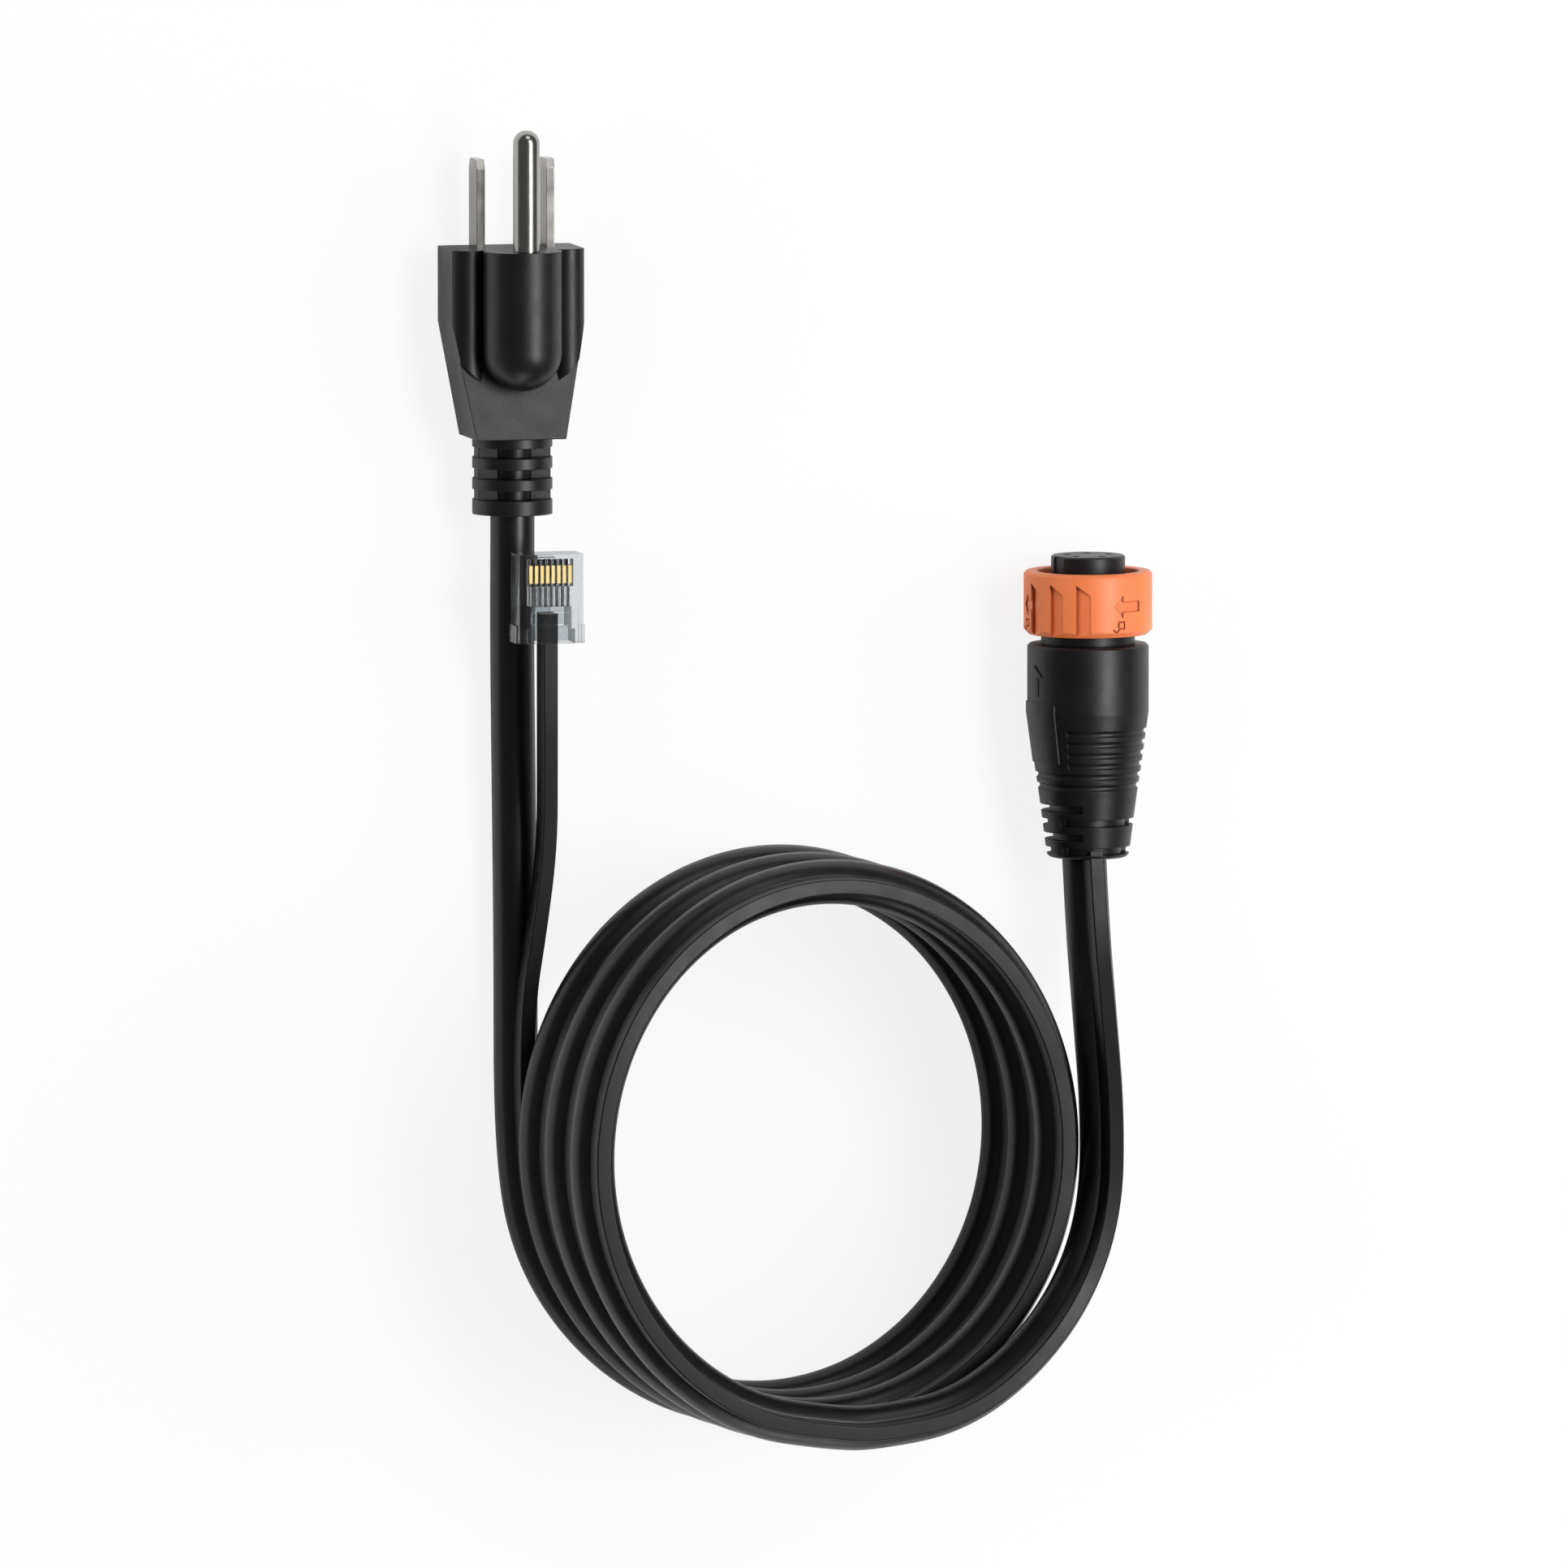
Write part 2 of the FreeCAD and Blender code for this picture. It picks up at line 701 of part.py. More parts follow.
def make_data_plug():
    """The clear modular plug: housing, spring latch, eight contacts, their wires and the strain bar."""
    back = "data_face - data_length"
    top = "data_bottom + data_thickness"
    block = box("DataBlock", "data_width", "data_length", "data_thickness",
                "data_centre - data_width / 2", back, "data_bottom")
    wings = box("DataWings", "data_width + 2 * wing_width", "wing_length", "wing_height",
                "data_centre - data_width / 2 - wing_width", back, "data_bottom + 0.7")
    contact_floor = f"{top} - contact_sink - contact_height"
    contacts = []
    wires = []
    cutters = []
    for number in range(8):
        centre = f"data_centre + ( {number} - 3.5 ) * data_pitch"
        contacts.append(box(f"Contact{number}", "contact_thickness", "contact_length", "contact_height",
                            f"{centre} - contact_thickness / 2", "data_face - contact_inset - contact_length",
                            contact_floor))
        cutters.append(box(f"Channel{number}", "channel_width", "channel_length",
                           "contact_height + contact_sink", f"{centre} - channel_width / 2",
                           "data_face - channel_start - channel_length", contact_floor))
        wire = rod(f"DataWire{number}", "data_wire_radius", "data_length - cavity_length - data_wire_end",
                   centre, f"{back} + cavity_length", f"{contact_floor} - data_wire_radius - 0.1")
        wires.append(wire)
        cutters.append(wire)
    cavity_base = "data_bottom + cavity_floor"
    cutters.append(box("DataCavity", "cavity_width", "cavity_length", "cavity_height",
                       "data_centre - cavity_width / 2", back, cavity_base))
    cutters.append(box("DataMouth", "cavity_mouth_width", "bar_start", "cavity_height",
                       "data_centre - cavity_mouth_width / 2", back, cavity_base))
    cutters.append(box("BarWindow", "cavity_width", "bar_length + 0.6", "data_thickness",
                       "data_centre - cavity_width / 2", f"{back} + bar_start + 0.6", cavity_base))
    housing = cut("data_plug_housing", fuse("DataBlank", [block, wings]), fuse("DataInside", cutters))
    bar = box("data_plug_strain_bar", "cavity_width", "bar_length", "bar_thickness",
              "data_centre - cavity_width / 2", f"{back} + bar_start + 0.9", f"{top} - bar_thickness")
    return [housing, bar, group("data_plug_contacts", contacts), group("data_plug_wires", wires), make_latch()]


def make_latch():
    """The data plug's latch: a tongue on a round hinge edge, sloping down towards the plug's back."""
    tongue = padded("LatchTongue", "YZ_Plane", (
        ("0", "0 - latch_barrel"),
        ("0 - latch_reach * 0.75", "0 - latch_drop + 0.3"),
        ("0 - latch_reach", "0 - latch_drop - 0.1"),
        ("0 - latch_reach", "0 - latch_drop + latch_thickness"),
        ("0 - latch_reach * 0.75", "0 - latch_drop + latch_thickness + 0.4"),
        ("0", "latch_barrel * 0.6"),
    ), "latch_width", both_ways=True)
    hinge_y = "data_face - 1.2"
    hinge_z = "data_bottom - latch_barrel - 0.06"
    move(tongue, "data_centre", hinge_y, hinge_z)
    barrel = doc.addObject("Part::Cylinder", "LatchBarrel")
    bind(barrel, Radius="latch_barrel", Height="latch_width")
    barrel.Placement = FreeCAD.Placement(Vector(), FreeCAD.Rotation(Vector(0, 1, 0), 90))
    move(barrel, "data_centre - latch_width / 2", hinge_y, hinge_z)
    return fuse("data_plug_latch", [tongue, barrel])


def boot_radius_at(distance):
    """The boot's outer radius at a distance behind its top."""
    stations = (
        (0, cell("boot_radius")),
        (cell("boot_straight"), cell("boot_radius")),
        (cell("boot_waist"), cell("boot_waist_radius")),
        (cell("boot_shoulder"), cell("boot_shoulder_radius")),
        (cell("boot_length"), cell("boot_end_radius")),
    )
    for (near, near_radius), (far, far_radius) in zip(stations, stations[1:]):
        if distance <= far:
            return near_radius + (far_radius - near_radius) * (distance - near) / (far - near)
    return stations[-1][1]


def ring_piece(inner, outer, start, length, first_angle=0, last_angle=360):
    """A ring about the connector's axis, or a sector of one; angles go from up towards +X."""
    centre = Vector(cell("joint_centre"), start, cell("joint_height"))
    along = Vector(0, 1, 0)
    whole = Part.makeCylinder(outer, length, centre, along).cut(Part.makeCylinder(inner, length, centre, along))
    span = last_angle - first_angle
    if span >= 360:
        return whole
    return whole.common(sector_wedge(start, length, first_angle, last_angle))


def sector_wedge(start, length, first_angle, last_angle):
    """A fan about the connector's axis that keeps the angles from first to last."""
    centre = Vector(cell("joint_centre"), start, cell("joint_height"))
    corners = [centre]
    for step in range(7):
        angle = math.radians(first_angle + (last_angle - first_angle) * step / 6)
        corners.append(centre + Vector(math.sin(angle), 0, math.cos(angle)) * 40)
    return Part.Face(Part.makePolygon(corners + [centre])).extrude(Vector(0, length, 0))


def wrapped(prism, angle, inner, outer):
    """The part of a local prism that lies between two radii of the connector, turned to an angle."""
    prism.rotate(Vector(), Vector(0, 1, 0), angle)
    prism.translate(Vector(cell("joint_centre"), 0, cell("joint_height")))
    reach = prism.BoundBox
    return prism.common(ring_piece(inner, outer, reach.YMin - 1, reach.YLength + 2))


def standing(corners):
    """A tall local prism on a closed outline."""
    return Part.Face(Part.makePolygon(corners + corners[:1])).extrude(Vector(0, 0, 20))


def arrow_prism(tip, way, length, head, head_width, shaft_width):
    """A local prism with an arrow's outline: its point, its barbs and its shaft."""
    side = Vector(-way.y, way.x, 0)
    barb, shaft = side * (head_width / 2), side * (shaft_width / 2)
    neck = tip - way * head
    end = tip - way * length
    return standing([tip, neck + barb, neck + shaft, end + shaft, end - shaft, neck - shaft, neck - barb])


def padlock_prisms(place):
    """An open padlock's outline: a square frame and a shackle swung out below it."""
    half, stroke = cell("padlock_width") / 2, cell("padlock_stroke")
    shackle = cell("padlock_shackle")
    frame = Part.makeBox(2 * half, 2 * half, 20, Vector(-half, place - half, 0))
    hole = Part.makeBox(2 * (half - stroke), 2 * (half - stroke), 20,
                        Vector(stroke - half, place - half + stroke, 0))
    middle = Vector(-half - shackle / 2, place - half + 0.01, 0)
    loop = Part.makeCylinder(shackle, 20, middle).cut(Part.makeCylinder(shackle - stroke, 20, middle))
    lower = Part.makeBox(2 * shackle, shackle, 20, middle - Vector(shackle, shackle, 0))
    return [frame.cut(hole), loop.common(lower)]


def make_boot_pads():
    """The raised bare panel on the boot's left side, and the raised arrow between it and the ring."""
    top = cell("boot_top")
    half, end_half = cell("panel_width") / 2, cell("panel_end_width") / 2
    near, far = top - cell("panel_start"), top - cell("panel_end")
    panel = standing([Vector(-half, near, 0), Vector(-end_half, far, 0), Vector(end_half, far, 0),
                      Vector(half, near, 0)])
    upper_edges = [edge for edge in panel.Edges
                   if edge.Length > 19 and edge.Vertexes[0].Point.y > near - 0.01]
    panel = panel.makeFillet(cell("panel_corner"), upper_edges)
    panel = wrapped(panel, cell("pad_angle"), 4, cell("boot_radius") + 1)
    skin = turned("PanelSkin", (
        ("0", "0 - panel_start"),
        ("boot_radius + pad_rise", "0 - panel_start"),
        ("boot_radius + pad_rise", "0 - boot_straight"),
        ("boot_waist_radius + pad_rise", "0 - boot_waist"),
        ("0", "0 - boot_waist"),
    ))
    move(skin, "joint_centre", "boot_top", "joint_height")
    arrow = arrow_prism(Vector(0, top - cell("boot_arrow_place"), 0), Vector(0, 1, 0), cell("boot_arrow_length"),
                        cell("boot_arrow_head"), cell("boot_arrow_head_width"), cell("boot_arrow_shaft"))
    outer = cell("boot_radius") + cell("pad_rise")
    raised = wrapped(arrow, cell("pad_angle"), cell("boot_radius") - 1, outer)
    return [common("BootPanel", skin, shaped("PanelOutline", panel)), shaped("BootArrow", raised)]


def grip_groove(distance, first_angle, last_angle):
    """A round-bottomed groove about the boot at a distance behind its top."""
    y = cell("boot_top") - distance
    size = cell("rib_groove")
    ring_size = boot_radius_at(distance) - cell("rib_depth") + size
    middle = Vector(cell("joint_centre"), y, cell("joint_height"))
    groove = Part.makeTorus(ring_size, size, middle, Vector(0, 1, 0))
    if last_angle - first_angle < 360:
        groove = groove.common(sector_wedge(y - 2, 4, first_angle, last_angle))
    return groove


def make_boot(cord_ends):
    """The connector's moulded boot: grooved for grip, slotted to flex at its end, seated on the two cords."""
    blank = turned("BootBlank", (
        ("0", "0"),
        ("boot_radius - 0.4", "0"),
        ("boot_radius", "0 - 0.4"),
        ("boot_radius", "0 - boot_straight"),
        ("boot_waist_radius", "0 - boot_waist"),
        ("boot_shoulder_radius", "0 - boot_shoulder"),
        ("boot_end_radius", "0 - boot_length"),
        ("0", "0 - boot_length"),
    ))
    end = -cell("boot_length")
    rounded(blank, "BootEndEdge", "boot_end_rounding", lambda point: point.y < end + 0.01 and point.x > 1)
    move(blank, "joint_centre", "boot_top", "joint_height")
    blank = fuse("BootWithPads", [blank] + make_boot_pads())
    tail = rod("ShellTailSpace", "shell_tail_radius", "shell_tail_length", "joint_centre",
               "boot_top - shell_tail_length", "joint_height")
    grooves = []
    for number in range(6):
        distance = cell("rib_first") + number * cell("rib_pitch")
        span = (-35, 215) if number < 4 else (0, 360)
        grooves.append(grip_groove(distance, *span))
    slots = []
    for number in range(4):
        far = cell("slot_first") + number * cell("slot_pitch") + cell("slot_width")
        floor = boot_radius_at(far) - cell("slot_depth")
        spans = ((-165, -20), (75, 155)) if number % 2 == 0 else ((-51, 101), (155, 285))
        for span in spans:
            slots.append(ring_piece(floor, floor + 4, cell("boot_top") - far, cell("slot_width"), *span))
    cutters = [shaped(f"BootGroove{number}", shape) for number, shape in enumerate(grooves + slots)]
    return cut("connector_boot", blank, fuse("BootCuts", [tail] + cutters + cord_ends))


def make_shell():
    """The connector's inner shell: a tail in the boot, the neck that the ring turns on, and its flange."""
    shell = turned("connector_shell", (
        ("0", "0 - shell_tail_length"),
        ("shell_tail_radius", "0 - shell_tail_length"),
        ("shell_tail_radius", "0"),
        ("shell_neck_radius", "0"),
        ("shell_neck_radius", "ring_gap + ring_lip + ring_play"),
        ("shell_flange_radius", "ring_gap + ring_lip + ring_play"),
        ("shell_flange_radius", "ring_gap + ring_lip + ring_play + 1.6"),
        ("0", "ring_gap + ring_lip + ring_play + 1.6"),
    ))
    return move(shell, "joint_centre", "boot_top", "joint_height")


def make_ring():
    """The locking ring: a lip that runs on the neck, an open mouth, and finger notches in two sets."""
    blank = turned("RingBlank", (
        ("ring_lip_bore", "0"),
        ("ring_radius - ring_chamfer", "0"),
        ("ring_radius", "ring_chamfer"),
        ("ring_radius", "ring_length - ring_mouth_chamfer"),
        ("ring_radius - ring_mouth_chamfer", "ring_length"),
        ("ring_bore + 0.2", "ring_length"),
        ("ring_bore", "ring_length - 0.2"),
        ("ring_bore", "ring_lip"),
        ("ring_lip_bore", "ring_lip"),
    ))
    move(blank, "joint_centre", "boot_top + ring_gap", "joint_height")
    notches = []
    centre = Vector(cell("joint_centre"), 0, cell("joint_height"))
    start = cell("boot_top") + cell("ring_gap")
    radius = cell("ring_radius")
    half = cell("notch_width") / 2
    for angle in (-18, -43.5, -69, 162, 136.5, 111):
        corners = (
            Vector(-half, start - 1, radius - cell("notch_depth")),
            Vector(-half, start + cell("notch_tall"), radius - cell("notch_depth")),
            Vector(half, start + cell("notch_short"), radius - 0.15),
            Vector(half, start - 1, radius - 0.15),
        )
        face = Part.Face(Part.makePolygon(corners + corners[:1]))
        notch = face.extrude(Vector(0, 0, 3))
        notch.rotate(Vector(), Vector(0, 1, 0), angle)
        notch.translate(centre)
        notches.append(shaped(f"RingNotch{len(notches)}", notch))
    marks = []
    depth = cell("mark_depth")
    for angle in (25, -75.8):
        tip = Vector(-cell("ring_arrow_length") / 2, cell("boot_top") + cell("ring_arrow_place"), 0)
        arrow = arrow_prism(tip, Vector(-1, 0, 0), cell("ring_arrow_length"), cell("ring_arrow_head"),
                            cell("ring_arrow_head_width"), cell("ring_arrow_shaft"))
        marks.append(wrapped(arrow, angle, radius - depth, radius + 1))
        for prism in padlock_prisms(cell("boot_top") + cell("padlock_place")):
            marks.append(wrapped(prism, angle - 7.3, radius - depth, radius + 1))
    notches += [shaped(f"RingMark{number}", mark) for number, mark in enumerate(marks)]
    return cut("locking_ring", blank, fuse("RingCuts", notches))


def make_insert():
    """The black insert with five sockets and a key slot, and the five contact sleeves in it."""
    base = "boot_top + ring_gap + ring_lip + ring_play + 1.6"
    length = "( ring_length + insert_rise - ring_lip - ring_play - 1.6 )"
    blank = turned("InsertBlank", (
        ("0", "0"),
        ("insert_radius", "0"),
        ("insert_radius", f"{length} - insert_edge"),
        ("insert_radius - insert_edge", length),
        ("0", length),
    ))
    move(blank, "joint_centre", base, "joint_height")
    top = f"{base} + {length}"
    cutters = []
    sleeves = []
    for number in range(5):
        angle = math.radians(-80 + 72 * number)
        across = f"joint_centre + ( {math.cos(angle):.6f} ) * socket_circle"
        height = f"joint_height + ( {math.sin(angle):.6f} ) * socket_circle"
        seat = rod(f"SleeveSeat{number}", "sleeve_radius", "sleeve_length", across,
                   f"{top} - sleeve_depth - sleeve_length", height)
        mouth = rod(f"SocketMouth{number}", "socket_radius", "sleeve_depth", across,
                    f"{top} - sleeve_depth", height)
        bore = rod(f"SocketBore{number}", "socket_radius", "sleeve_length - 1", across,
                   f"{top} - sleeve_depth - sleeve_length + 1", height)
        cutters.append(fuse(f"SocketHole{number}", [seat, mouth]))
        sleeves.append(cut(f"Sleeve{number}", seat, bore))
    key = doc.addObject("Part::Box", "KeySlot")
    bind(key, Length="key_width", Width=f"{length} - 2", Height="key_depth + 1")
    turn = FreeCAD.Rotation(Vector(0, 1, 0), -68)
    corner = Vector(-cell("key_width") / 2, 0, cell("insert_radius") - cell("key_depth"))
    key_start = cell("boot_top") + cell("ring_gap") + cell("ring_lip") + cell("ring_play") + 3.6
    key.Placement = FreeCAD.Placement(
        Vector(cell("joint_centre"), key_start, cell("joint_height")) + turn.multVec(corner), turn)
    cutters.append(key)
    return [cut("socket_insert", blank, group("InsertHoles", cutters)), group("socket_contacts", sleeves)]


def make_seal():
    """The rubber ring that seals the joint, lying at the insert's root on the flange."""
    seal = doc.addObject("Part::Torus", "face_seal")
    bind(seal, Radius1="insert_radius + seal_radius + 0.02", Radius2="seal_radius")
    seal.Placement = FreeCAD.Placement(Vector(), ALONG_Y)
    return move(seal, "joint_centre", "boot_top + ring_gap + ring_lip + ring_play + 1.6 + seal_radius",
                "joint_height")


def make_connector(cord_ends):
    return [make_boot(cord_ends), make_shell(), make_ring(), make_seal()] + make_insert()


def check_and_export(pieces):
    """Stop on any failed object, then write every piece to its own file."""
    doc.recompute()
    for thing in doc.Objects:
        if "Invalid" in thing.State or "Error" in thing.State:
            raise RuntimeError(f"{thing.Name} failed: {thing.State}")
    for piece in pieces:
        piece.Label = piece.Name
        if piece.Shape.isNull() or not piece.Shape.isValid():
            raise RuntimeError(f"{piece.Label} has no valid shape")
        if not piece.Shape.Solids:
            raise RuntimeError(f"{piece.Label} has no solid")
        piece.Shape.exportStep(f"parts/{piece.Label}.step")
    print(len(pieces), "pieces written")


leads = list(make_cords())
check_and_export(make_plug() + make_data_plug() + make_connector([leads[1], leads[3]]) + leads)
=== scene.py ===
import math

import bmesh
import bpy
from mathutils import Matrix, Vector


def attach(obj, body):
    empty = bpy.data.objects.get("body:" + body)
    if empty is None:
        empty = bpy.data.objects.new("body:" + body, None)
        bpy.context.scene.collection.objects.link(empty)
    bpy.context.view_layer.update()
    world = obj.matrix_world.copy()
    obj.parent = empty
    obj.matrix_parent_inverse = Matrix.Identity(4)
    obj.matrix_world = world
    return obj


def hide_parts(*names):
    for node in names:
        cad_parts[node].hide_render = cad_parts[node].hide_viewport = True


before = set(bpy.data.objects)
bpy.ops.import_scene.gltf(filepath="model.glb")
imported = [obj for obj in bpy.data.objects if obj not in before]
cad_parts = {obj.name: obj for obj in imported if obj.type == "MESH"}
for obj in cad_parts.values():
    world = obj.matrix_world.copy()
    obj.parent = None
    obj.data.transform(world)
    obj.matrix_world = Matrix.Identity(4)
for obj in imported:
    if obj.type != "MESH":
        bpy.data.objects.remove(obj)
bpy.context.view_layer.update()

MM = 0.001
UP = Vector((0, 0, 1))

# The camera looks down at the lead from its left, a little from above its top edge.
VIEW_RIGHT = Vector((0.9736, 0.0, 0.2278))
VIEW_UP = Vector((0.0223, 0.9954, -0.0941))
VIEW_CENTRE = Vector((-2.9, -52.3, 10.0)) * MM
VIEW_DISTANCE = 6.0
VIEW_WIDTH = 0.2798
VIEW_REACH = 30
SENSOR_WIDTH = 36

# The cords' sizes in millimetres. They are those of the frame, with the turns packed a little closer.
CORD_RADIUS = 4.0
LEAD_THICKNESS = 2.7
LEAD_WIDTH = 5.7
LEAD_CORNER = 0.3
LEAD_RISE = 6.95
COIL_LEFT = -50.74
COIL_MIDDLE = -115.4
COIL_HALF_WIDTH = 44.4
COIL_HALF_LENGTH = 48.5
COIL_PITCH = 14.05
COIL_LEAN = 1.47
COIL_FLOOR = 4.05
COIL_TURNS = 3.25
POINTS_PER_TURN = 16
CURVE_STEPS = 12
CORD_ROUNDNESS = 6
CORNER_STEPS = 4

# Sizes of the patterns, in millimetres. A moulding's tone drifts over a centimetre and its gloss over a
# few millimetres. The real grain of a spark-eroded mould and the hair lines of drawing are near 0.03 mm,
# too fine to show, so the lines are drawn 7 times as coarse and the grain 12 to 24 times.
CLOUD_PATCH = 11.0
GLOSS_PATCH = 3.8
HAIR_WIDTH = 0.2
HAIR_LENGTH = 6.5
CLEAR_GLOSS_PATCH = 1.5
FLOW_PATCH = 3.0
# How far the painted shade in recesses looks for open air.
PAINTED_SHADE_REACH = 1.0
RELIEF_DEPTH = 0.1
FLOW_DEPTH = 0.2

# Noise seldom leaves this band of its range.
NOISE_BAND = (0.3, 0.7)
# How much glossier and how much duller than its mean a surface gets.
GLOSS_DRIFT = (-0.03, 0.04)
# The openness at which a notch's painted shade is darkest and at which it is gone.
PAINTED_SHADE_BAND = (0.45, 0.95)
FAINT_RELIEF = 0.05
# How far the painted edge shade of clear plastic spreads over its faces, and how much its gloss drifts.
PAINTED_EDGE_SHADE_BLEND = 0.7
CLEAR_GLOSS_DRIFT = 0.05
EDGE_SAMPLES = 6
# Samples taken for the painted shade in recesses.
PAINTED_SHADE_SAMPLES = 8

# How much of the floor's white each kind of ray sees, and how bright the room is to all but the camera.
FLOOR_SEEN = 0.85
FLOOR_MIRRORED = 0.25
FLOOR_REACH = 3.0
ROOM_LIGHT = 0.12

# Each lamp's name, place and size in metres, watts, and whether it shows as a highlight.
LAMPS = (
    ("top lamp", (0.62, 0.1, 1.34), (1.35, 0.46), 17, True),
    ("front lamp", (0.0, -1.55, 0.35), (0.7, 0.7), 4, True),
    ("back lamp", (0.1, 1.5, 0.95), (0.7, 0.7), 3, True),
    ("left lamp", (-1.35, 0.0, 0.6), (1.0, 1.0), 8, False),
    ("right lamp", (1.35, 0.0, 0.6), (1.0, 1.0), 12, False),
)
LAMP_AIM = Vector((0.0, -0.05, 0.01))


def linear(code):
    """A colour written as a web code, as the linear values that a shader takes."""
    channels = [int(code[place:place + 2], 16) / 255 for place in (0, 2, 4)]
    light = [value / 12.92 if value <= 0.04045 else ((value + 0.055) / 1.055) ** 2.4 for value in channels]
    return light + [1.0]


def add_node(tree, kind, inputs=None, **settings):
    """One shader node with its settings; an input that is a socket is linked, any other is set."""
    node = tree.nodes.new(kind)
    for name, value in settings.items():
        setattr(node, name, value)
    for name, value in (inputs or {}).items():
        if isinstance(value, bpy.types.NodeSocket):
            tree.links.new(value, node.inputs[name])
        else:
            node.inputs[name].default_value = value
    return node


def new_material(name, colour, roughness, **shader_values):
    """A material with its shader, its tree and Object coordinates ready for a pattern."""
    material = bpy.data.materials.new(name)
    material.use_nodes = True
    tree = material.node_tree
    shader = tree.nodes["Principled BSDF"]
    shader.inputs["Base Color"].default_value = linear(colour)
    shader.inputs["Roughness"].default_value = roughness
    for socket, value in shader_values.items():
        shader.inputs[socket.replace("_", " ")].default_value = value
    place = add_node(tree, "ShaderNodeTexCoord").outputs["Object"]
    return material, tree, shader, place


def uneven(tree, place, size, low, high):
    """A value that wanders between two others over the surface, in patches of this size in millimetres."""
    noise = add_node(tree, "ShaderNodeTexNoise", {
        "Vector": place,
        "Scale": 1 / (size * MM),
        "Detail": 2.0,
    })
    spread = add_node(tree, "ShaderNodeMapRange", {
        "Value": noise.outputs[0],
        "From Min": NOISE_BAND[0],
        "From Max": NOISE_BAND[1],
        "To Min": low,
        "To Max": high,
    })
    return spread.outputs["Result"]


def cloudy(tree, place, dark, light):
    """A tone that drifts between two colours over the surface."""
    return add_node(tree, "ShaderNodeMix", {
        "Factor": uneven(tree, place, CLOUD_PATCH, 0.0, 1.0),
        6: linear(dark),
        7: linear(light),
    }, data_type="RGBA")


def uneven_gloss(tree, place, roughness):
    """A roughness that drifts a little about its mean."""
    return uneven(tree, place, GLOSS_PATCH, roughness + GLOSS_DRIFT[0], roughness + GLOSS_DRIFT[1])


def surface(material, tree, shader, tint, gloss, relief):
    """Link a finish's colour, gloss and relief to its shader."""
    tree.links.new(tint.outputs[2], shader.inputs["Base Color"])
    tree.links.new(gloss, shader.inputs["Roughness"])
    tree.links.new(relief.outputs["Normal"], shader.inputs["Normal"])
    return material


def moulded(name, dark, light, roughness, grain, depth, edge=0.0, painted_recess_shade=None, **shader_values):
    """Moulded or extruded plastic: a cloudy tone, uneven gloss and the tool's fine grain.

    Where they are given, its edges are softened by a radius in millimetres and painted shade in a deeper
    colour darkens its recesses.
    """
    material, tree, shader, place = new_material(name, dark, roughness, **shader_values)
    tint = cloudy(tree, place, dark, light)
    gloss = uneven_gloss(tree, place, roughness)
    skin = add_node(tree, "ShaderNodeTexNoise", {
        "Vector": place,
        "Scale": 1 / (grain * MM),
        "Detail": 2.0,
    })
    relief = add_node(tree, "ShaderNodeBump", {
        "Height": skin.outputs[0],
        "Strength": depth,
        "Distance": RELIEF_DEPTH * MM,
    })
    if edge:
        softened = add_node(tree, "ShaderNodeBevel", {"Radius": edge * MM}, samples=EDGE_SAMPLES)
        tree.links.new(softened.outputs[0], relief.inputs["Normal"])
    # Painted shade: where little open air reaches a notch, its tone is darkened toward the recess colour.
    if painted_recess_shade:
        reach = {"Distance": PAINTED_SHADE_REACH * MM}
        openness = add_node(tree, "ShaderNodeAmbientOcclusion", reach, samples=PAINTED_SHADE_SAMPLES)
        lit = add_node(tree, "ShaderNodeMapRange", {
            "Value": openness.outputs["AO"],
            "From Min": PAINTED_SHADE_BAND[0],
            "From Max": PAINTED_SHADE_BAND[1],
        })
        tint = add_node(tree, "ShaderNodeMix", {
            "Factor": lit.outputs["Result"],
            6: linear(painted_recess_shade),
            7: tint.outputs[2],
        }, data_type="RGBA")
    return surface(material, tree, shader, tint, gloss, relief)


def drawn_metal(name, dark, light, roughness, edge):
    """Drawn and plated metal: hair lines along the blade, a cloudy tone and burnished edges."""
    material, tree, shader, place = new_material(name, dark, roughness, Metallic=1.0)
    tint = cloudy(tree, place, dark, light)
    gloss = uneven_gloss(tree, place, roughness)
    stretch = (1.0, HAIR_WIDTH / HAIR_LENGTH, 1.0)
    along = add_node(tree, "ShaderNodeMapping", {"Vector": place, "Scale": stretch})
    lines = add_node(tree, "ShaderNodeTexNoise", {
        "Vector": along.outputs[0],
        "Scale": 1 / (HAIR_WIDTH * MM),
        "Detail": 2.0,
    })
    softened = add_node(tree, "ShaderNodeBevel", {"Radius": edge * MM}, samples=EDGE_SAMPLES)
    relief = add_node(tree, "ShaderNodeBump", {
        "Height": lines.outputs[0],
        "Strength": FAINT_RELIEF,
        "Distance": RELIEF_DEPTH * MM,
        "Normal": softened.outputs[0],
    })
    return surface(material, tree, shader, tint, gloss, relief)


